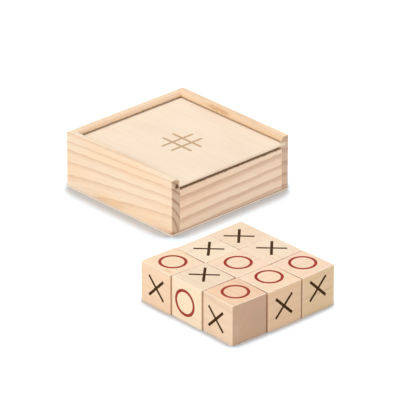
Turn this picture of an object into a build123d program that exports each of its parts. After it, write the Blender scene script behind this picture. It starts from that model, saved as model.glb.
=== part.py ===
from build123d import *
from collections import namedtuple
from math import cos, radians, tan
import os

# A wooden tic-tac-toe game: a pine box with a sliding lid, and its nine marked cubes
# laid out on the table beside it. Lengths are in millimetres, angles in degrees.
# The origin is the middle of the box's underside, on the table. +X runs along the front
# of the box to its right, +Y goes from the front to the back, and +Z is up.

# Cubes
cube_size = 30.0
cube_edge_rounding = 0.7
rows = ("back", "middle", "front")
columns = ("left", "centre", "right")

# Room in the box round the nine cubes
room_across = 7.6
room_along = 7.6
room_above = 4.1

# Wood of the box
base_thickness = 2.0
left_wall_thickness = 7.8
right_wall_thickness = 6.6
front_wall_thickness = 7.0
back_wall_thickness = 5.4
corner_rounding = 1.0
base_edge_rounding = 0.5
rim_rounding = 0.8
front_rim_rounding = 0.4

# Lid, the grooves it slides in and the lips above them
lid_thickness = 2.2
lid_edge_rounding = 1.8
groove_height = 3.1
groove_depth = 4.2
back_groove_depth = 3.0
lip_height = 3.8
lip_rounding = 3.4
gap_under_lid_front = 2.3
lid_play_back = 0.5
lid_play_right = 0.2
lid_hold_left = 0.9

# Printed marks, as thin layers of paint let into the wood
paint_depth = 0.2
cross_stroke_length = 21.0
cross_stroke_width = 2.0
nought_diameter = 19.8
nought_stroke_width = 2.1

# Where the cubes lie: how far their block stands from the front of the box, how far it
# reaches to the right past the box's left side, and the least room between two columns
# and between two rows
block_gap = 56.3
block_reach_right = 12.0
column_gap = 0.2
row_gap = 0.15

# The block is laid by hand: how far each row falls short of the block's right side, and
# each column of its back, and the room left behind each cube of the front row
row_setback = {"back": 0.7, "middle": 0.7, "front": 0.3}
column_setback = {"left": 0.0, "centre": 1.6, "right": 1.7}
front_row_room = {"left": 0.3, "centre": 0.3, "right": 0.3}

# Sizes that follow from the ones above
inside_width = len(columns) * cube_size + room_across
inside_depth = len(rows) * cube_size + room_along
box_width = left_wall_thickness + inside_width + right_wall_thickness
box_depth = front_wall_thickness + inside_depth + back_wall_thickness
groove_floor = base_thickness + cube_size + room_above
groove_roof = groove_floor + groove_height
box_height = groove_roof + lip_height

# Faces of the box
left_face = -box_width / 2
right_face = box_width / 2
front_face = -box_depth / 2
back_face = box_depth / 2
inside_left = left_face + left_wall_thickness
inside_right = right_face - right_wall_thickness
inside_front = front_face + front_wall_thickness
inside_back = back_face - back_wall_thickness

# One cube: its row and column, its turn seen from above, the way its grain runs, the mark
# on its top, and how far its marks are off centre: right and back on the top, right and up
# on a side
Cube = namedtuple("Cube", "row column turn grain top top_shift side_shift")

cubes = [
    Cube("back", "left", -2.2, "Y", "nought", (-0.1, -0.6), (0.8, -0.1)),
    Cube("back", "centre", -0.8, "X", "cross", (0.3, -1.2), (0.3, 0.0)),
    Cube("back", "right", 0.0, "X", "cross", (-2.0, -0.9), (-0.4, 0.5)),
    Cube("middle", "left", -1.5, "Y", "cross", (2.2, 1.5), (-1.6, -0.5)),
    Cube("middle", "centre", 0.0, "X", "nought", (0.6, 0.8), (0.5, 0.4)),
    Cube("middle", "right", 0.3, "Y", "cross", (1.7, 1.1), (0.2, -0.6)),
    Cube("front", "left", -2.6, "Y", "nought", (0.4, -0.1), (-1.8, -1.1)),
    Cube("front", "centre", -0.6, "X", "nought", (1.1, 2.0), (-1.1, 0.5)),
    Cube("front", "right", 0.9, "X", "nought", (1.4, 1.6), (-0.6, 2.5)),
]


def block(low, high):
    """A plain block from its lowest corner to its highest one."""
    size = [far - near for near, far in zip(low, high)]
    return Pos(*low) * Box(*size, align=(Align.MIN, Align.MIN, Align.MIN))


def edges_at(solid, axis, x=None, y=None, z=None):
    """The edges along one axis whose middle lies at the given places."""
    wanted = {"X": x, "Y": y, "Z": z}
    return [
        edge
        for edge in solid.edges().filter_by(axis)
        if all(
            place is None or abs(getattr(edge @ 0.5, name) - place) < 0.01
            for name, place in wanted.items()
        )
    ]


def grooved_walls():
    """The left, back and right walls in one: grooved, moulded and not yet parted."""
    walls = block((left_face, front_face, base_thickness), (right_face, back_face, box_height))
    walls -= block(
        (inside_left, front_face, base_thickness), (inside_right, inside_back, box_height)
    )
    walls -= block(
        (inside_left - groove_depth, front_face, groove_floor),
        (inside_right + groove_depth, inside_back + back_groove_depth, groove_roof),
    )
    corners = edges_at(walls, Axis.Z, x=left_face) + edges_at(walls, Axis.Z, x=right_face)
    walls = fillet(corners, corner_rounding)
    lips = (
        edges_at(walls, Axis.Y, x=inside_left, z=box_height)
        + edges_at(walls, Axis.Y, x=inside_right, z=box_height)
        + edges_at(walls, Axis.X, y=inside_back, z=box_height)
    )
    walls = fillet(lips, min(lip_rounding, 0.9 * lip_height, 0.7 * back_wall_thickness))
    rims = (
        edges_at(walls, Axis.Y, x=left_face, z=box_height)
        + edges_at(walls, Axis.Y, x=right_face, z=box_height)
        + edges_at(walls, Axis.X, y=back_face, z=box_height)
    )
    return fillet(rims, rim_rounding)


def parted(walls, near, far, front):
    """One of the three walls: what lies from one X to another, back of the given Y."""
    return walls & block((near, front, base_thickness), (far, back_face, box_height))


def front_wall():
    """The low front wall, which the lid passes over."""
    top = groove_floor - gap_under_lid_front
    wall = block((inside_left, front_face, base_thickness), (inside_right, inside_front, top))
    return fillet(edges_at(wall, Axis.X, z=top), front_rim_rounding)


def base_panel():
    """The thin panel under all four walls."""
    panel = block((left_face, front_face, 0), (right_face, back_face, base_thickness))
    panel = fillet(edges_at(panel, Axis.Z), corner_rounding)
    return chamfer(panel.edges().group_by(Axis.Z)[0], base_edge_rounding)


def lid():
    """The plain panel that slides in the grooves and comes out at the front."""
    left = inside_left - lid_hold_left
    right = inside_right + groove_depth - lid_play_right
    back = inside_back + back_groove_depth - lid_play_back
    top = groove_floor + lid_thickness
    panel = block((left, front_face, groove_floor), (right, back, top))
    front_edge = edges_at(panel, Axis.X, y=front_face, z=top)
    return fillet(front_edge, min(lid_edge_rounding, 0.9 * lid_thickness))


def cross_mark():
    """Two strokes that cross at right angles, one on each diagonal."""
    stroke = Rectangle(cross_stroke_length, cross_stroke_width)
    return Rot(0, 0, 45) * stroke + Rot(0, 0, -45) * stroke


def nought_mark():
    """A ring of even width."""
    outer = nought_diameter / 2
    return Circle(outer) - Circle(outer - nought_stroke_width)


def face_planes(grain):
    """The planes of the four long-grain faces: top and bottom, then the side pair."""
    half = cube_size / 2
    flat = [
        Plane((0, 0, half), x_dir=(1, 0, 0), z_dir=(0, 0, 1)),
        Plane((0, 0, -half), x_dir=(1, 0, 0), z_dir=(0, 0, -1)),
    ]
    if grain == "X":
        upright = [
            Plane((0, -half, 0), x_dir=(1, 0, 0), z_dir=(0, -1, 0)),
            Plane((0, half, 0), x_dir=(-1, 0, 0), z_dir=(0, 1, 0)),
        ]
    else:
        upright = [
            Plane((-half, 0, 0), x_dir=(0, -1, 0), z_dir=(-1, 0, 0)),
            Plane((half, 0, 0), x_dir=(0, 1, 0), z_dir=(1, 0, 0)),
        ]
    return flat, upright


def painted(mark, planes, shift):
    """One mark's paint on a pair of opposite faces."""
    return [extrude(plane * Pos(*shift) * mark, amount=-paint_depth) for plane in planes]


def cube_pieces(cube):
    """A cube's wood, its crosses and its noughts, about the middle of the cube."""
    wood = fillet(Box(cube_size, cube_size, cube_size).edges(), cube_edge_rounding)
    flat, upright = face_planes(cube.grain)
    marks = {"cross": cross_mark(), "nought": nought_mark()}
    side = "nought" if cube.top == "cross" else "cross"
    paint = {
        cube.top: painted(marks[cube.top], flat, cube.top_shift),
        side: painted(marks[side], upright, cube.side_shift),
    }
    for layers in paint.values():
        for layer in layers:
            wood -= layer
    return wood, paint["cross"], paint["nought"]


def spacing(turn, next_turn, gap):
    """How far apart the middles of two neighbours are, with the given room left open."""
    a = radians(turn)
    b = radians(next_turn)
    return cube_size / 2 * (1 / cos(a) + 1 / cos(b) + abs(tan(a) - tan(b))) + gap


def cube_places():
    """The middle of each cube: rows from right to left, columns from back to front."""
    turns = {(cube.row, cube.column): cube.turn for cube in cubes}
    across = {}
    for row in rows:
        x = left_face + block_reach_right - row_setback[row] - cube_size / 2
        last = None
        for column in reversed(columns):
            if last:
                x -= spacing(turns[row, last], turns[row, column], column_gap)
            across[row, column] = x
            last = column
    along = {}
    for column in columns:
        y = front_face - block_gap - column_setback[column] - cube_size / 2
        last = None
        for row in rows:
            if last:
                y -= spacing(turns[last, column], turns[row, column], row_gap)
            if row == "front":
                y -= front_row_room[column]
            along[row, column] = y
            last = row
    return {
        spot: Pos(across[spot], along[spot], cube_size / 2) * Rot(0, 0, turns[spot])
        for spot in turns
    }


def write(node, shape):
    """One sub-part's file, with its name on the shape."""
    shape.label = node
    export_step(shape, f"parts/{node}.step")


os.makedirs("parts", exist_ok=True)

walls = grooved_walls()
write("left_wall", parted(walls, left_face, inside_left, front_face))
write("right_wall", parted(walls, inside_right, right_face, front_face))
write("back_wall", parted(walls, inside_left, inside_right, inside_back))
write("front_wall", front_wall())
write("base_panel", base_panel())
write("lid", lid())

places = cube_places()
for cube in cubes:
    wood, crosses, noughts = cube_pieces(cube)
    place = places[cube.row, cube.column]
    spot = f"{cube.row}_{cube.column}"
    write(f"cube_{spot}", place * wood)
    write(f"crosses_{spot}", Compound([place * layer for layer in crosses]))
    write(f"noughts_{spot}", Compound([place * layer for layer in noughts]))
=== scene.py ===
import math

import bpy
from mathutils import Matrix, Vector


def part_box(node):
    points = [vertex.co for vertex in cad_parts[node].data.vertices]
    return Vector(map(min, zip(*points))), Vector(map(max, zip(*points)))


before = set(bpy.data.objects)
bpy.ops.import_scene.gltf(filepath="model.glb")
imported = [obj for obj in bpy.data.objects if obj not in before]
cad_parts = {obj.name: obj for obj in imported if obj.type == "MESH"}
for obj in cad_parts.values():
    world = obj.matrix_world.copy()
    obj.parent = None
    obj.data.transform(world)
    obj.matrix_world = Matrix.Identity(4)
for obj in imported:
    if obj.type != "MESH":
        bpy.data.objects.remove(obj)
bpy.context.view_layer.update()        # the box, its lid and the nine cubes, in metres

print("frame loaded")

mm = 0.001
toMillimetres = (1 / mm, 1 / mm, 1 / mm)
scene = bpy.context.scene
scene.view_settings.view_transform = "Standard"

# Camera, at the photograph's viewing angle
cameraSettings = {
    "place": (-1967.3 * mm, -2142.8 * mm, 1410.6 * mm),
    "pitchDown": 26.02,
    "turnRight": 42.87,
    "sensor": 36.0,
    "lens": 410.5,
    "farthest": 20.0,
}


def makeCamera(settings):
    cameraData = bpy.data.cameras.new("camera")
    cameraData.sensor_width = settings["sensor"]
    cameraData.lens = settings["lens"]
    cameraData.clip_end = settings["farthest"]
    camera = bpy.data.objects.new("camera", cameraData)
    scene.collection.objects.link(camera)
    camera.location = settings["place"]
    tilt = math.radians(90 - settings["pitchDown"])
    camera.rotation_euler = (tilt, 0, -math.radians(settings["turnRight"]))
    scene.camera = camera


makeCamera(cameraSettings)
print("camera placed")


# Small helpers for shader nodes: an input is a value or another node's output
def addNode(tree, kind, inputs=None, **settings):
    node = tree.nodes.new(kind)
    for name, value in settings.items():
        setattr(node, name, value)
    for key, value in (inputs or {}).items():
        if isinstance(value, bpy.types.NodeSocket):
            tree.links.new(value, node.inputs[key])
        else:
            node.inputs[key].default_value = value
    return node


def maths(tree, operation, *values):
    node = addNode(tree, "ShaderNodeMath", dict(enumerate(values)), operation=operation)
    return node.outputs[0]


def vectors(tree, operation, *values):
    node = addNode(tree, "ShaderNodeVectorMath", dict(enumerate(values)), operation=operation)
    return node.outputs["Value" if operation == "LENGTH" else "Vector"]


def ramp(tree, value, low, high, toLow=0.0, toHigh=1.0, smooth=True):
    kind = "SMOOTHSTEP" if smooth else "LINEAR"
    inputs = {"Value": value, "From Min": low, "From Max": high, "To Min": toLow, "To Max": toHigh}
    return addNode(tree, "ShaderNodeMapRange", inputs, interpolation_type=kind).outputs["Result"]


def blendColour(tree, factor, first, second, mode="MIX"):
    inputs = {0: factor, 6: first, 7: second}
    node = addNode(tree, "ShaderNodeMix", inputs, data_type="RGBA", blend_type=mode)
    return node.outputs[2]


def noise(tree, place, scale, detail=2.0, roughness=0.5, output="Fac"):
    inputs = {"Vector": place, "Scale": scale, "Detail": detail, "Roughness": roughness}
    return addNode(tree, "ShaderNodeTexNoise", inputs).outputs[output]


def stretched(tree, place, across, along):
    return vectors(tree, "MULTIPLY", place, (across, across, along))


def scaled(tree, vector, scale):
    inputs = {0: vector, "Scale": scale}
    return addNode(tree, "ShaderNodeVectorMath", inputs, operation="SCALE").outputs[0]


def centred(tree, colour):
    return vectors(tree, "SUBTRACT", colour, (0.5, 0.5, 0.5))


def objectPlace(tree):
    coordinates = addNode(tree, "ShaderNodeTexCoord").outputs["Object"]
    return vectors(tree, "MULTIPLY", coordinates, toMillimetres)


def newGroup(name, inputs, outputs):
    tree = bpy.data.node_groups.new(name, "ShaderNodeTree")
    kinds = {"number": "NodeSocketFloat", "colour": "NodeSocketColor", "vector": "NodeSocketVector"}
    for label, kind, value in inputs:
        socket = tree.interface.new_socket(name=label, in_out="INPUT", socket_type=kinds[kind])
        if value is not None:
            socket.default_value = value
    for label, kind in outputs:
        tree.interface.new_socket(name=label, in_out="OUTPUT", socket_type=kinds[kind])
    given = tree.nodes.new("NodeGroupInput").outputs
    result = tree.nodes.new("NodeGroupOutput").inputs
    return tree, given, result


# How fast each pattern of the wood changes across and along the grain, per millimetre
woodPatterns = {
    "slowBend": (0.012, 0.006),
    "quickBend": (0.07, 0.025),
    "ripple": (0.3, 0.14),
    "fibres": (2.4, 0.05),
    "streaks": (0.5, 0.012),
    "resin": (1.7, 0.11),
    "patches": (0.045, 0.014),
}
woodLooks = {
    "slowBend": 4.0,             # how much further the slow bend moves rings than the quick one
    "unevenRings": 0.6,
    "unevenWidth": 2.0,          # what the change from ring to ring does to their width
    "unevenStrength": 1.2,       # and to how dark they are
    "ringDark": 0.95,            # where in a ring its dark side is darkest
    "ringFade": 1.4,             # how slowly the dark side comes in
    "innerLines": 3.0,           # thin lines in each ring
    "innerPlace": (0.6, 0.9),    # where in its share of the ring a line begins, and is darkest
    "innerStrength": 0.16,
    "barsFrom": (0.1, 0.6),      # how dark a ring has to be for its bar on the end grain
    "resinFrom": (0.68, 0.76),   # where the resin pattern begins to show, and shows in full
    "resinDark": (0.1, 0.4),     # how dark a ring has to be for all of the resin to show
    "resinShade": 0.4,           # how much of it shows elsewhere
    "patchesFrom": (0.4, 0.7),
    "roughness": 0.62,
    "lateGloss": 0.12,
    "endRoughness": 0.15,
    "fibreHeight": 0.7,
    "lateHeight": 0.4,
}
squareFace = (0.5, 0.9)          # from where to where a normal counts as along an axis


def grainNoise(tree, place, pattern, detail, roughness=0.5, output="Fac"):
    place = stretched(tree, place, *woodPatterns[pattern])
    return noise(tree, place, 1.0, detail, roughness, output)


# Wood as a solid: rings round a pith that runs along Z, in millimetres
def makeWoodGroup(looks):
    inputs = [
        ("Place", "vector", None),
        ("Normal", "vector", None),
        ("Pith", "vector", (0.0, 0.0, 0.0)),
        ("Lean", "vector", (0.0, 0.0, 0.0)),
        ("Ring Width", "number", 5.0),
        ("Ring Start", "number", 0.0),
        ("Ring Change", "number", 0.5),
        ("Wander", "number", 2.0),
        ("Ripple", "number", 1.2),
        ("Late Share", "number", 0.5),
        ("Late Strength", "number", 0.6),
        ("Late Edge", "number", 0.1),
        ("End Strength", "number", 0.9),
        ("Early Wood", "colour", (0.9, 0.7, 0.5, 1.0)),
        ("Late Wood", "colour", (0.7, 0.5, 0.3, 1.0)),
        ("Warm Wood", "colour", (0.9, 0.6, 0.35, 1.0)),
        ("Warm Amount", "number", 0.3),
        ("Fibre", "number", 0.1),
        ("Resin", "number", 0.2),
        ("End Tint", "colour", (0.8, 0.75, 0.7, 1.0)),
        ("End Lines", "colour", (0.7, 0.5, 0.3, 1.0)),
        ("Upright", "number", 0.0),
        ("Upright Tint", "colour", (1.0, 1.0, 1.0, 1.0)),
    ]
    outputs = [("Colour", "colour"), ("Roughness", "number"), ("Height", "number")]
    tree, given, result = newGroup("solidWood", inputs, outputs)
    place = given["Place"]
    along = addNode(tree, "ShaderNodeSeparateXYZ", {0: place}).outputs["Z"]
    facing = addNode(tree, "ShaderNodeSeparateXYZ", {0: given["Normal"]}).outputs["Z"]
    endGrain = ramp(tree, maths(tree, "ABSOLUTE", facing), *squareFace)

    # the pith leans and wanders slowly along the board, and the rings ripple a little
    shift = scaled(tree, given["Lean"], along)
    slow = grainNoise(tree, place, "slowBend", 0.0, output="Color")
    quick = grainNoise(tree, place, "quickBend", 2.0, output="Color")
    slowReach = maths(tree, "MULTIPLY", given["Wander"], looks["slowBend"])
    slow = scaled(tree, centred(tree, slow), slowReach)
    quick = scaled(tree, centred(tree, quick), given["Wander"])
    moved = vectors(tree, "ADD", vectors(tree, "SUBTRACT", place, given["Pith"]), shift)
    moved = vectors(tree, "ADD", moved, vectors(tree, "ADD", slow, quick))
    ripple = grainNoise(tree, place, "ripple", 2.0, output="Color")
    moved = vectors(tree, "ADD", moved, scaled(tree, centred(tree, ripple), given["Ripple"]))
    radius = vectors(tree, "LENGTH", vectors(tree, "MULTIPLY", moved, (1.0, 1.0, 0.0)))

    # rings of uneven width and strength, dark on their outer side
    rings = maths(tree, "SUBTRACT", radius, given["Ring Start"])
    rings = maths(tree, "DIVIDE", rings, given["Ring Width"])
    uneven = {"W": rings, "Scale": looks["unevenRings"], "Detail": 0.0}
    uneven = addNode(tree, "ShaderNodeTexNoise", uneven, noise_dimensions="1D").outputs["Fac"]
    uneven = maths(tree, "MULTIPLY", maths(tree, "SUBTRACT", uneven, 0.5), given["Ring Change"])
    rings = maths(tree, "ADD", rings, maths(tree, "MULTIPLY", uneven, looks["unevenWidth"]))
    part = maths(tree, "FRACT", rings)
    number = {"W": maths(tree, "FLOOR", rings)}
    paler = addNode(tree, "ShaderNodeTexWhiteNoise", number, noise_dimensions="1D").outputs["Value"]
    change = maths(tree, "MULTIPLY", given["Ring Change"], looks["unevenStrength"])
    strength = maths(tree, "SUBTRACT", 1.0, maths(tree, "MULTIPLY", paler, change))
    start = maths(tree, "SUBTRACT", 1.0, given["Late Share"])
    late = ramp(tree, part, start, looks["ringDark"], smooth=False)
    late = maths(tree, "POWER", late, looks["ringFade"])
    edge = maths(tree, "SUBTRACT", 1.0, given["Late Edge"])
    late = maths(tree, "MULTIPLY", late, ramp(tree, part, edge, 1.0, 1.0, 0.0))
    late = maths(tree, "MULTIPLY", late, strength)
    # thin lines inside each ring
    inner = maths(tree, "FRACT", maths(tree, "MULTIPLY", rings, looks["innerLines"]))
    fading = ramp(tree, inner, looks["innerPlace"][1], 1.0, 1.0, 0.0)
    inner = maths(tree, "MULTIPLY", ramp(tree, inner, *looks["innerPlace"]), fading)
    late = maths(tree, "ADD", late, maths(tree, "MULTIPLY", inner, looks["innerStrength"]))

    # fibres along the grain, dots on the end grain, and short dark resin lines
    fine = maths(tree, "SUBTRACT", grainNoise(tree, place, "fibres", 3.0, 0.6), 0.5)
    streaks = maths(tree, "SUBTRACT", grainNoise(tree, place, "streaks", 2.0), 0.5)
    texture = maths(tree, "ADD", fine, streaks)
    resin = ramp(tree, grainNoise(tree, place, "resin", 1.0), *looks["resinFrom"])
    shown = ramp(tree, late, *looks["resinDark"], looks["resinShade"], 1.0)
    resin = maths(tree, "MULTIPLY", resin, shown)
    resin = maths(tree, "MULTIPLY", resin, given["Resin"])

    # broad soft patches, then rings, fibres and resin
    warm = ramp(tree, grainNoise(tree, place, "patches", 2.0), *looks["patchesFrom"])
    warm = maths(tree, "MULTIPLY", warm, given["Warm Amount"])
    colour = blendColour(tree, warm, given["Early Wood"], given["Warm Wood"])
    bars = maths(tree, "MULTIPLY", ramp(tree, late, *looks["barsFrom"]), given["End Strength"])
    lines = maths(tree, "MULTIPLY", late, given["Late Strength"])
    lines = addNode(tree, "ShaderNodeMix", {0: endGrain, 2: lines, 3: bars}).outputs[0]
    dark = blendColour(tree, endGrain, given["Late Wood"], given["End Lines"])
    colour = blendColour(tree, lines, colour, dark)
    light = maths(tree, "ADD", 1.0, maths(tree, "MULTIPLY", texture, given["Fibre"]))
    light = maths(tree, "SUBTRACT", light, resin)
    colour = scaled(tree, colour, light)

    # upright faces differ a little from flat ones, and end grain is darker and rougher
    upright = maths(tree, "MULTIPLY", given["Upright"], maths(tree, "SUBTRACT", 1.0, endGrain))
    colour = blendColour(tree, upright, colour, given["Upright Tint"], "MULTIPLY")
    colour = blendColour(tree, endGrain, colour, given["End Tint"], "MULTIPLY")
    height = maths(tree, "MULTIPLY", texture, looks["fibreHeight"])
    height = maths(tree, "ADD", height, maths(tree, "MULTIPLY", late, looks["lateHeight"]))
    height = maths(tree, "SUBTRACT", height, resin)
    gloss = maths(tree, "MULTIPLY", late, looks["lateGloss"])
    roughness = maths(tree, "SUBTRACT", looks["roughness"], gloss)
    rougher = maths(tree, "MULTIPLY", endGrain, looks["endRoughness"])
    roughness = maths(tree, "ADD", roughness, rougher)
    for label, value in (("Colour", colour), ("Roughness", roughness), ("Height", height)):
        tree.links.new(value, result[label])
    return tree


woodGroup = makeWoodGroup(woodLooks)

# How each grain direction is turned onto Z. A pith is given across the grain, in millimetres:
# as (x, z) for grain along Y, and as (-z, y) for grain along X.
grainTurns = {"X": (0.0, -90.0, 0.0), "Y": (-90.0, 0.0, 0.0)}


def addWood(tree, settings):
    coordinates = addNode(tree, "ShaderNodeTexCoord").outputs
    turn = [math.radians(angle) for angle in grainTurns[settings["grain"]]]
    place = {"Vector": coordinates["Object"], "Rotation": turn, "Scale": toMillimetres}
    place = addNode(tree, "ShaderNodeMapping", place).outputs[0]
    normal = {"Vector": coordinates["Normal"], "Rotation": turn}
    normal = addNode(tree, "ShaderNodeMapping", normal, vector_type="VECTOR").outputs[0]
    up = addNode(tree, "ShaderNodeSeparateXYZ", {0: coordinates["Normal"]}).outputs["Z"]
    inputs = {
        "Place": place,
        "Normal": normal,
        "Upright": ramp(tree, maths(tree, "ABSOLUTE", up), *squareFace, 1.0, 0.0),
        "Pith": (*settings["pith"], 0.0),
        **settings["wood"],
    }
    return addNode(tree, "ShaderNodeGroup", inputs, node_tree=woodGroup).outputs


def newMaterial(name):
    material = bpy.data.materials.new(name)
    material.use_nodes = True
    material.node_tree.nodes.clear()
    return material, material.node_tree


bumpHeight = 0.15 * mm
finishes = {
    "pine": {"bump": 0.35, "specular": 0.25},
    "plywood": {"bump": 0.25, "specular": 0.25},
    "ink": {"bump": 0.2, "specular": 0.03},
}


def finishMaterial(tree, colour, roughness, height, finish):
    bump = {"Strength": finish["bump"], "Distance": bumpHeight, "Height": height}
    inputs = {
        "Base Color": colour,
        "Roughness": roughness,
        "Normal": addNode(tree, "ShaderNodeBump", bump).outputs[0],
        "Specular IOR Level": finish["specular"],
    }
    shader = addNode(tree, "ShaderNodeBsdfPrincipled", inputs)
    addNode(tree, "ShaderNodeOutputMaterial", {"Surface": shader.outputs[0]})


# A patch of another colour, an ellipsoid with a ragged edge: stained heartwood, resin or grime, and
# in some places painted shade in the box's gaps and grooves
raggedEdge = 0.35                # how fast the edge changes, per millimetre


def makeStainAndShadeGroup():
    inputs = [
        ("Place", "vector", None),
        ("Colour", "colour", (0.9, 0.7, 0.5, 1.0)),
        ("Middle", "vector", (0.0, 0.0, 0.0)),
        ("Reach", "vector", (1.0, 1.0, 1.0)),
        ("Stain And Shade Colour", "colour", (0.5, 0.3, 0.2, 1.0)),
        ("Strength", "number", 0.6),
        ("Core", "number", 0.3),
    ]
    tree, given, result = newGroup("stainAndShade", inputs, [("Colour", "colour")])
    ragged = maths(tree, "SUBTRACT", noise(tree, given["Place"], raggedEdge, 3.0), 0.5)
    away = vectors(tree, "SUBTRACT", given["Place"], given["Middle"])
    away = vectors(tree, "LENGTH", vectors(tree, "DIVIDE", away, given["Reach"]))
    away = maths(tree, "ADD", away, ragged)
    mask = ramp(tree, away, given["Core"], 1.0, given["Strength"], 0.0)
    colour = blendColour(tree, mask, given["Colour"], given["Stain And Shade Colour"])
    tree.links.new(colour, result["Colour"])
    return tree


stainAndShadeGroup = makeStainAndShadeGroup()


# Each patch, whether stained wood or painted shade, is given by its middle and reach in
# millimetres, its colour, its strength, and how much of its reach is core
def addStainsAndShade(tree, colour, stainsAndShade):
    place = objectPlace(tree)
    labels = ("Middle", "Reach", "Stain And Shade Colour", "Strength", "Core")
    for stainAndShade in stainsAndShade:
        inputs = {"Place": place, "Colour": colour, **dict(zip(labels, stainAndShade))}
        colour = addNode(tree, "ShaderNodeGroup", inputs, node_tree=stainAndShadeGroup).outputs["Colour"]
    return colour


# Painted highlight on the rounded edges round the top and bottom of a piece, made paler so the dark
# seams between cubes show less. A normal that is turned from all three axes is on a rounded edge,
# and one that is level is on an upright edge.
edgeLightFrom = (0.8, 0.98)
edgeLightLevel = (0.1, 0.3)


def makeEdgeLightGroup():
    inputs = [
        ("Normal", "vector", None),
        ("Colour", "colour", (0.9, 0.7, 0.5, 1.0)),
        ("Edge Colour", "colour", (1.0, 0.85, 0.69, 1.0)),
        ("Strength", "number", 0.9),
    ]
    tree, given, result = newGroup("paintedEdgeLight", inputs, [("Colour", "colour")])
    axes = vectors(tree, "ABSOLUTE", given["Normal"])
    axes = addNode(tree, "ShaderNodeSeparateXYZ", {0: axes}).outputs
    square = maths(tree, "MAXIMUM", maths(tree, "MAXIMUM", axes["X"], axes["Y"]), axes["Z"])
    mask = ramp(tree, square, *edgeLightFrom, 1.0, 0.0)
    mask = maths(tree, "MULTIPLY", mask, ramp(tree, axes["Z"], *edgeLightLevel))
    mask = maths(tree, "MULTIPLY", mask, given["Strength"])
    colour = blendColour(tree, mask, given["Colour"], given["Edge Colour"])
    tree.links.new(colour, result["Colour"])
    return tree


edgeLightGroup = makeEdgeLightGroup()


def addEdgeLight(tree, colour, edges):
    normal = addNode(tree, "ShaderNodeTexCoord").outputs["Normal"]
    inputs = {"Normal": normal, "Colour": colour, **edges}
    return addNode(tree, "ShaderNodeGroup", inputs, node_tree=edgeLightGroup).outputs["Colour"]


def woodMaterial(name, settings):
    material, tree = newMaterial(name)
    wood = addWood(tree, settings)
    colour = addStainsAndShade(tree, wood["Colour"], settings.get("stainsAndShade", []))
    if "edges" in settings:
        colour = addEdgeLight(tree, colour, settings["edges"])
    finishMaterial(tree, colour, wood["Roughness"], wood["Height"], finishes["pine"])
    return material


def wear(node, material):
    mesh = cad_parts[node].data
    mesh.materials.clear()
    mesh.materials.append(material)


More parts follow.
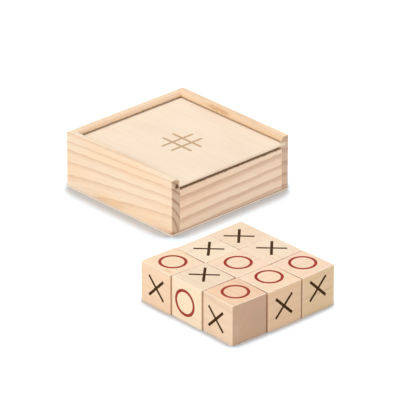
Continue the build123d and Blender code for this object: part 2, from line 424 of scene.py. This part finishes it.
# Pine boards of the box, each sawn from its own place in the log
pineWood = {
    "Early Wood": (0.97, 0.76, 0.55, 1.0),
    "Late Wood": (0.73, 0.49, 0.31, 1.0),
    "Warm Wood": (0.96, 0.68, 0.43, 1.0),
    "Warm Amount": 0.5,
    "End Tint": (0.90, 0.86, 0.84, 1.0),
    "End Lines": (0.50, 0.29, 0.18, 1.0),
    "Fibre": 0.12,
}
boards = {
    "left_wall": {
        "grain": "Y",
        "pith": (-86.8, -5.0),
        "wood": {
            "Lean": (-0.07, 0.0, 0.0),
            "Ring Width": 5.35,
            "Ring Start": 1.4,
            "Ring Change": 0.2,
            "Wander": 0.9,
            "Late Strength": 0.9,
            "Early Wood": (0.90, 0.735, 0.55, 1.0),
            "Upright Tint": (1.11, 1.085, 1.08, 1.0),
            "End Tint": (0.852, 0.78, 0.745, 1.0),
            "End Strength": 0.8,
        },
        "stainsAndShade": [
            ((-56.0, 8.0, 5.0), (3.0, 22.0, 3.5), (0.93, 0.62, 0.36, 1.0), 0.6, 0.35),
            ((-56.0, -47.0, 1.5), (3.0, 15.0, 5.0), (0.88, 0.55, 0.38, 1.0), 0.6, 0.3),
            ((-54.5, -55.0, 2.0), (3.5, 3.0, 2.6), (0.50, 0.24, 0.15, 1.0), 0.8, 0.35),
            # painted shade: the groove's floor and the rim round its open front end are darkened
            # where the lid leaves a shaded hole
            ((-50.8, -54.0, 37.0), (2.6, 4.5, 2.2), (0.36, 0.21, 0.10, 1.0), 0.85, 0.6),
            ((-52.5, -55.0, 40.8), (4.2, 1.5, 2.6), (0.50, 0.36, 0.21, 1.0), 0.75, 0.2),
        ],
    },
    "right_wall": {
        "grain": "Y",
        "pith": (26.0, -96.0),
        "wood": {
            "Lean": (0.0, 0.03, 0.0),
            "Ring Width": 9.25,
            "Ring Start": 4.6,
            "Ring Change": 0.15,
            "Wander": 1.2,
            "Late Share": 0.6,
            "End Strength": 0.4,
            "Early Wood": (0.91, 0.67, 0.45, 1.0),
            "End Tint": (0.82, 0.81, 0.91, 1.0),
        },
        "stainsAndShade": [
            ((50.4, 12.0, 41.5), (2.4, 19.0, 2.4), (0.62, 0.33, 0.15, 1.0), 0.7, 0.2),
            # painted shade: a dark line along the foot of the lip, in the gap over the lid
            ((49.4, 0.0, 39.2), (2.0, 400.0, 1.0), (0.60, 0.40, 0.22, 1.0), 0.6, 0.6),
        ],
    },
    "front_wall": {
        "grain": "X",
        "pith": (60.0, -120.0),
        "wood": {
            "Lean": (0.024, 0.0, 0.0),
            "Ring Width": 6.6,
            "Ring Start": -1.0,
            "Ring Change": 0.2,
            "Wander": 1.5,
            "Late Share": 0.7,
            "Late Strength": 1.0,
            "Late Edge": 0.2,
            "Early Wood": (1.0, 0.795, 0.60, 1.0),
            "Late Wood": (0.60, 0.37, 0.23, 1.0),
            "Warm Wood": (1.0, 0.72, 0.53, 1.0),
            "Upright Tint": (1.06, 1.035, 1.02, 1.0),
            "Warm Amount": 0.7,
        },
        # painted shade: the top of the front wall is darkened, in the gap under the lid's front
        # edge
        "stainsAndShade": [((0.0, -51.0, 33.8), (400.0, 4.0, 1.2), (0.36, 0.22, 0.12, 1.0), 0.75, 0.7)],
    },
    "back_wall": {
        "grain": "X",
        "pith": (-60.0, 100.0),
        "wood": {"Ring Width": 5.0, "Early Wood": (0.88, 0.655, 0.46, 1.0)},
        # painted shade: a dark line along the foot of the back lip, in the gap over the lid
        "stainsAndShade": [((0.0, 49.6, 39.2), (400.0, 2.0, 1.0), (0.34, 0.21, 0.12, 1.0), 0.75, 0.6)],
    },
}


def dressBoards():
    for node, board in boards.items():
        wood = {**pineWood, **board["wood"]}
        wear(node, woodMaterial(node + "Pine", {**board, "wood": wood}))


dressBoards()
print("box walls dressed")

# Plywood of the lid and the base, and the plain grid printed on the lid
plywood = {
    "wood": {
        "Ring Width": 9.0,
        "Wander": 6.0,
        "Late Strength": 0.07,
        "End Strength": 0.12,
        "Early Wood": (0.915, 0.753, 0.588, 1.0),
        "Late Wood": (0.73, 0.49, 0.31, 1.0),
        "Warm Wood": (0.85, 0.665, 0.51, 1.0),
        "Warm Amount": 0.5,
        "Fibre": 0.08,
        "Resin": 0.0,
        # End Tint above 1 is partly the pale cut edge of the plywood and partly painted light,
        # lifting the lid's shaded front edge to the brightness of its top
        "End Tint": (1.07, 1.06, 1.05, 1.0),
    },
    "lidPith": (40.0, 400.0),
    "basePith": (10.0, 300.0),
    "baseTint": (1.12, 1.16, 1.22),
    "glueDepth": 0.8 * mm,       # how far the dark line under the walls reaches down
    "glueShade": (0.27, 0.155, 0.12, 1.0),
    "glueElsewhere": 0.4,        # how much of it shows beside and behind, where the front has 1
    "glueSides": (0.3, 0.6),     # from where to where a normal counts as up or down
    "glueFront": (-0.9, -0.5),   # and as pointing to the front
}
# painted shade: the lid's left side is darkened where it shows through the open front end of the
# groove
lidPaintedShade = [((-49.8, -54.5, 37.0), (1.4, 4.0, 3.0), (0.36, 0.22, 0.11, 1.0), 0.85, 0.7)]
lidGrid = {
    "middle": (-1.0, -6.0, 0.0),
    "linesApart": 9.6,
    "halfLength": 14.0,
    "halfWidth": 1.1,
    "softEdge": 0.15,
    "topFace": (0.8, 0.95),      # from where to where a normal counts as pointing up
    "grain": 1.2,                # how fast the print's strength changes, per millimetre
    "grainFrom": (0.3, 0.6),
    "palest": 0.8,
    "colour": (0.50, 0.30, 0.14, 1.0),
    "strength": 0.88,
}


def gridMask(tree, place, settings):
    local = vectors(tree, "ABSOLUTE", vectors(tree, "SUBTRACT", place, settings["middle"]))
    axes = addNode(tree, "ShaderNodeSeparateXYZ", {0: local}).outputs
    masks = []
    for across, along in ((axes["X"], axes["Y"]), (axes["Y"], axes["X"])):
        side = maths(tree, "SUBTRACT", across, settings["linesApart"] / 2)
        past = maths(tree, "MAXIMUM", maths(tree, "SUBTRACT", along, settings["halfLength"]), 0.0)
        away = addNode(tree, "ShaderNodeCombineXYZ", {0: side, 1: past}).outputs[0]
        away = vectors(tree, "LENGTH", away)
        inner = settings["halfWidth"] - settings["softEdge"]
        outer = settings["halfWidth"] + settings["softEdge"]
        masks.append(ramp(tree, away, inner, outer, 1.0, 0.0))
    return maths(tree, "MAXIMUM", *masks)


def dressLid():
    material, tree = newMaterial("lidPlywood")
    wood = addWood(tree, {"grain": "Y", "pith": plywood["lidPith"], "wood": plywood["wood"]})
    normal = addNode(tree, "ShaderNodeTexCoord").outputs["Normal"]
    up = addNode(tree, "ShaderNodeSeparateXYZ", {0: normal}).outputs["Z"]
    place = objectPlace(tree)
    top = ramp(tree, up, *lidGrid["topFace"])
    mask = maths(tree, "MULTIPLY", gridMask(tree, place, lidGrid), top)
    grain = noise(tree, stretched(tree, place, lidGrid["grain"], lidGrid["grain"]), 1.0, 3.0)
    strength = ramp(tree, grain, *lidGrid["grainFrom"], lidGrid["palest"], 1.0)
    strength = maths(tree, "MULTIPLY", strength, lidGrid["strength"])
    mask = maths(tree, "MULTIPLY", mask, strength)
    colour = blendColour(tree, mask, wood["Colour"], lidGrid["colour"])
    colour = addStainsAndShade(tree, colour, lidPaintedShade)
    finishMaterial(tree, colour, wood["Roughness"], wood["Height"], finishes["plywood"])
    wear("lid", material)


def dressBase():
    material, tree = newMaterial("basePlywood")
    wood = addWood(tree, {"grain": "Y", "pith": plywood["basePith"], "wood": plywood["wood"]})
    coordinates = addNode(tree, "ShaderNodeTexCoord").outputs
    height = addNode(tree, "ShaderNodeSeparateXYZ", {0: coordinates["Object"]}).outputs["Z"]
    facing = addNode(tree, "ShaderNodeSeparateXYZ", {0: coordinates["Normal"]}).outputs
    # the glue line runs along the panel's upper edge, and not over its top
    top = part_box("base_panel")[1][2]
    side = ramp(tree, maths(tree, "ABSOLUTE", facing["Z"]), *plywood["glueSides"], 1.0, 0.0)
    front = ramp(tree, facing["Y"], *plywood["glueFront"], 1.0, plywood["glueElsewhere"])
    side = maths(tree, "MULTIPLY", side, front)
    line = maths(tree, "MULTIPLY", side, ramp(tree, height, top - plywood["glueDepth"], top))
    colour = vectors(tree, "MULTIPLY", wood["Colour"], plywood["baseTint"])
    colour = blendColour(tree, line, colour, plywood["glueShade"])
    finishMaterial(tree, colour, wood["Roughness"], wood["Height"], finishes["plywood"])
    wear("base_panel", material)


dressLid()
dressBase()
print("lid and base dressed")

# Cubes, each sawn from its own place in the log
cubeWoods = {
    "back_left": {
        "grain": "Y",
        "pith": (-160.0, 60.0),
        "wood": {
            "Early Wood": (0.94, 0.708, 0.492, 1.0),
            "Upright Tint": (0.998, 0.963, 0.97, 1.0),
        },
        "stainsAndShade": [((-132.5, -135.3, 30.0), (1.8, 6.5, 2.0), (0.78, 0.42, 0.22, 1.0), 0.6, 0.2)],
    },
    "back_centre": {
        "grain": "X",
        "pith": (60.0, -190.0),
        "wood": {"Early Wood": (0.92, 0.753, 0.572, 1.0), "Ring Width": 6.0},
    },
    "back_right": {
        "grain": "X",
        "pith": (70.0, -60.0),
        "wood": {"Early Wood": (0.884, 0.693, 0.505, 1.0)},
    },
    "middle_left": {
        "grain": "Y",
        "pith": (-70.0, -60.0),
        "wood": {
            "Early Wood": (0.87, 0.695, 0.506, 1.0),
            "Upright Tint": (1.115, 1.13, 1.12, 1.0),
        },
    },
    "middle_centre": {
        "grain": "X",
        "pith": (60.0, -100.0),
        "wood": {"Early Wood": (0.94, 0.692, 0.511, 1.0)},
    },
    "middle_right": {
        "grain": "Y",
        "pith": (-10.0, -60.0),
        "wood": {"Early Wood": (0.90, 0.729, 0.553, 1.0)},
    },
    "front_left": {
        "grain": "Y",
        "pith": (-190.0, 60.0),
        "wood": {
            "Early Wood": (0.89, 0.60, 0.407, 1.0),
            "Upright Tint": (1.0, 1.085, 1.145, 1.0),
            "End Tint": (0.715, 0.687, 0.69, 1.0),
            "Late Strength": 0.55,
            "End Strength": 0.1,
        },
        "stainsAndShade": [
            ((-113.0, -203.5, 16.0), (12.0, 3.0, 10.0), (0.50, 0.36, 0.28, 1.0), 0.4, 0.0),
            ((-133.0, -203.5, 12.0), (7.0, 3.0, 14.0), (0.76, 0.58, 0.45, 1.0), 0.4, 0.0),
        ],
    },
    "front_centre": {
        "grain": "X",
        "pith": (60.0, -250.0),
        "wood": {
            "Early Wood": (0.94, 0.706, 0.516, 1.0),
            "Upright Tint": (0.928, 0.867, 0.78, 1.0),
        },
    },
    "front_right": {
        "grain": "X",
        "pith": (-100.0, -160.0),
        "wood": {
            "Early Wood": (0.922, 0.683, 0.53, 1.0),
            "Upright Tint": (0.928, 0.925, 0.763, 1.0),
        },
        "stainsAndShade": [
            ((-59.0, -204.0, 4.0), (22.0, 3.0, 9.0), (0.84, 0.62, 0.36, 1.0), 0.5, 0.35),
            ((-59.0, -204.0, 13.5), (16.0, 2.0, 1.0), (0.52, 0.34, 0.20, 1.0), 0.5, 0.2),
        ],
    },
}
cubeWood = {
    "Ring Width": 5.0,
    "Wander": 2.0,
    "Late Share": 0.6,
    "Late Strength": 0.3,
    "End Strength": 0.25,
    "Late Wood": (0.73, 0.49, 0.31, 1.0),
    "Warm Wood": (0.96, 0.68, 0.43, 1.0),
    "Warm Amount": 0.35,
    "Fibre": 0.08,
    "End Tint": (0.72, 0.65, 0.63, 1.0),
    "End Lines": (0.73, 0.49, 0.31, 1.0),
}
cubeEdges = {"Edge Colour": (1.0, 0.85, 0.69, 1.0), "Strength": 0.9}


def dressCubes():
    for spot, cube in cubeWoods.items():
        settings = {**cube, "wood": {**cubeWood, **cube["wood"]}, "edges": cubeEdges}
        wear(f"cube_{spot}", woodMaterial(f"cube_{spot}_wood", settings))


dressCubes()
print("cubes dressed")

# Paint of the marks
paints = {
    "crosses": {"colour": (0.062, 0.025, 0.006, 1.0), "missing": 0.2},
    "noughts": {"colour": (0.37, 0.046, 0.030, 1.0), "missing": 0.2},
}
bareWood = (0.95, 0.735, 0.54, 1.0)
inkLooks = {
    "specks": 1.8,               # how fast the patterns change, per millimetre
    "specksFrom": (0.5, 0.75),
    "clouds": 0.25,
    "cloudsFrom": (0.35, 0.65),
    "roughness": 0.5,
    "speckRoughness": 0.2,
}


# Printed ink that the fibres of the wood take up unevenly
def makeInkGroup(looks):
    inputs = [
        ("Place", "vector", None),
        ("Ink", "colour", (0.03, 0.02, 0.015, 1.0)),
        ("Wood", "colour", (0.9, 0.7, 0.5, 1.0)),
        ("Missing", "number", 0.2),
    ]
    outputs = [("Colour", "colour"), ("Roughness", "number"), ("Height", "number")]
    tree, given, result = newGroup("printedInk", inputs, outputs)
    specks = noise(tree, given["Place"], looks["specks"], 4.0, 0.65)
    clouds = noise(tree, given["Place"], looks["clouds"], 1.0)
    bare = ramp(tree, clouds, *looks["cloudsFrom"])
    bare = maths(tree, "MULTIPLY", ramp(tree, specks, *looks["specksFrom"]), bare)
    bare = maths(tree, "MULTIPLY", bare, given["Missing"])
    rougher = maths(tree, "MULTIPLY", specks, looks["speckRoughness"])
    tree.links.new(blendColour(tree, bare, given["Ink"], given["Wood"]), result["Colour"])
    tree.links.new(maths(tree, "ADD", looks["roughness"], rougher), result["Roughness"])
    tree.links.new(maths(tree, "SUBTRACT", specks, bare), result["Height"])
    return tree


inkGroup = makeInkGroup(inkLooks)


def inkMaterial(name, paint):
    material, tree = newMaterial(name)
    inputs = {
        "Place": objectPlace(tree),
        "Ink": paint["colour"],
        "Wood": bareWood,
        "Missing": paint["missing"],
    }
    ink = addNode(tree, "ShaderNodeGroup", inputs, node_tree=inkGroup).outputs
    finishMaterial(tree, ink["Colour"], ink["Roughness"], ink["Height"], finishes["ink"])
    return material


def dressMarks():
    for kind, paint in paints.items():
        material = inkMaterial(kind + "Ink", paint)
        for spot in cubeWoods:
            wear(f"{kind}_{spot}", material)


dressMarks()
print("marks painted")

# Floor and light
studio = {
    "floorSize": 6.0,
    "floorColour": (0.8, 0.8, 0.8, 1.0),
    "floorGlow": 0.5,
    "glowColour": (0.79, 1.12, 1.40, 1.0),
    # the soft shadow and dark line below are painted shadow, made from how closed in the floor is,
    # on top of the lamps' own shadow
    "boxReach": 22.0 * mm,       # how wide the soft shadow is round the box and the cubes
    "cubesReach": 8.0 * mm,
    "cubesEdge": -85.0 * mm,     # where the one passes into the other
    "edgeSoftness": 15.0 * mm,
    "shadowSamples": 16,
    "glowFrom": 0.675,           # how open the floor is where the glow begins
    "glowCurve": 0.6,
    "coolUntil": (0.85, 1.0),    # how open it is where the glow turns white
    "contactReach": 0.35,        # how wide the dark line is, as a share of the soft shadow
    "contactUntil": (0.8, 0.95),
    "contactColour": (0.70, 0.725, 0.75, 1.0),
    "worldStrength": 0.5,
}
white = (1.0, 1.0, 1.0, 1.0)


# How open the floor is within some reach: 1 on the open floor, less beside the object
def openness(tree, reach, samples):
    inputs = {"Distance": reach}
    return addNode(tree, "ShaderNodeAmbientOcclusion", inputs, samples=samples).outputs["AO"]


def makeFloor(settings):
    bpy.ops.object.select_all(action="DESELECT")
    bpy.ops.mesh.primitive_plane_add(size=settings["floorSize"], location=(0, 0, 0))
    floor = bpy.context.object
    floor.name = "floor"
    material, tree = newMaterial("floor")
    # the glow that makes the floor white fades out close to the object and turns cool there, a
    # painted shadow
    place = addNode(tree, "ShaderNodeTexCoord").outputs["Object"]
    along = addNode(tree, "ShaderNodeSeparateXYZ", {0: place}).outputs["Y"]
    near = settings["cubesEdge"] - settings["edgeSoftness"]
    far = settings["cubesEdge"] + settings["edgeSoftness"]
    reach = ramp(tree, along, near, far, settings["cubesReach"], settings["boxReach"])
    wide = openness(tree, reach, settings["shadowSamples"])
    glow = ramp(tree, wide, settings["glowFrom"], 1.0, smooth=False)
    glow = maths(tree, "POWER", glow, settings["glowCurve"])
    glow = maths(tree, "MULTIPLY", glow, settings["floorGlow"])
    path = addNode(tree, "ShaderNodeLightPath")
    glow = maths(tree, "MULTIPLY", path.outputs["Is Camera Ray"], glow)
    cool = ramp(tree, wide, *settings["coolUntil"])
    cool = blendColour(tree, cool, settings["glowColour"], white)
    glowing = addNode(tree, "ShaderNodeEmission", {"Color": cool, "Strength": glow})

    # and right beside it the floor's colour is painted darker and cooler, a painted contact shadow
    reach = maths(tree, "MULTIPLY", reach, settings["contactReach"])
    close = openness(tree, reach, settings["shadowSamples"])
    close = ramp(tree, close, *settings["contactUntil"])
    colour = blendColour(tree, close, settings["contactColour"], settings["floorColour"])
    diffuse = addNode(tree, "ShaderNodeBsdfDiffuse", {"Color": colour})
    both = addNode(tree, "ShaderNodeAddShader", {0: diffuse.outputs[0], 1: glowing.outputs[0]})
    addNode(tree, "ShaderNodeOutputMaterial", {"Surface": both.outputs[0]})
    floor.data.materials.append(material)


def makeWorld(settings):
    world = bpy.data.worlds.new("studio")
    scene.world = world
    world.use_nodes = True
    background = world.node_tree.nodes["Background"]
    background.inputs["Color"].default_value = white
    background.inputs["Strength"].default_value = settings["worldStrength"]


# Soft lamps, each aimed at the middle of the scene; turn and height in degrees
lampTarget = (-0.04, -0.08, 0.02)
lamps = {
    "overhead": {"turn": 40.0, "height": 68.0, "distance": 1.6, "size": 0.9, "power": 11.5},
    "leftFill": {"turn": 208.0, "height": 25.0, "distance": 1.8, "size": 1.2, "power": 15.2},
}


def makeLamps():
    for name, lamp in lamps.items():
        turn = math.radians(lamp["turn"])
        height = math.radians(lamp["height"])
        flat = math.cos(height)
        away = Vector((flat * math.cos(turn), flat * math.sin(turn), math.sin(height)))
        lampData = bpy.data.lights.new(name, "AREA")
        lampData.size = lamp["size"]
        lampData.energy = lamp["power"]
        light = bpy.data.objects.new(name, lampData)
        scene.collection.objects.link(light)
        light.location = Vector(lampTarget) + away * lamp["distance"]
        light.rotation_euler = (-away).to_track_quat("-Z", "Y").to_euler()


makeFloor(studio)
makeWorld(studio)
makeLamps()
print("studio lit")
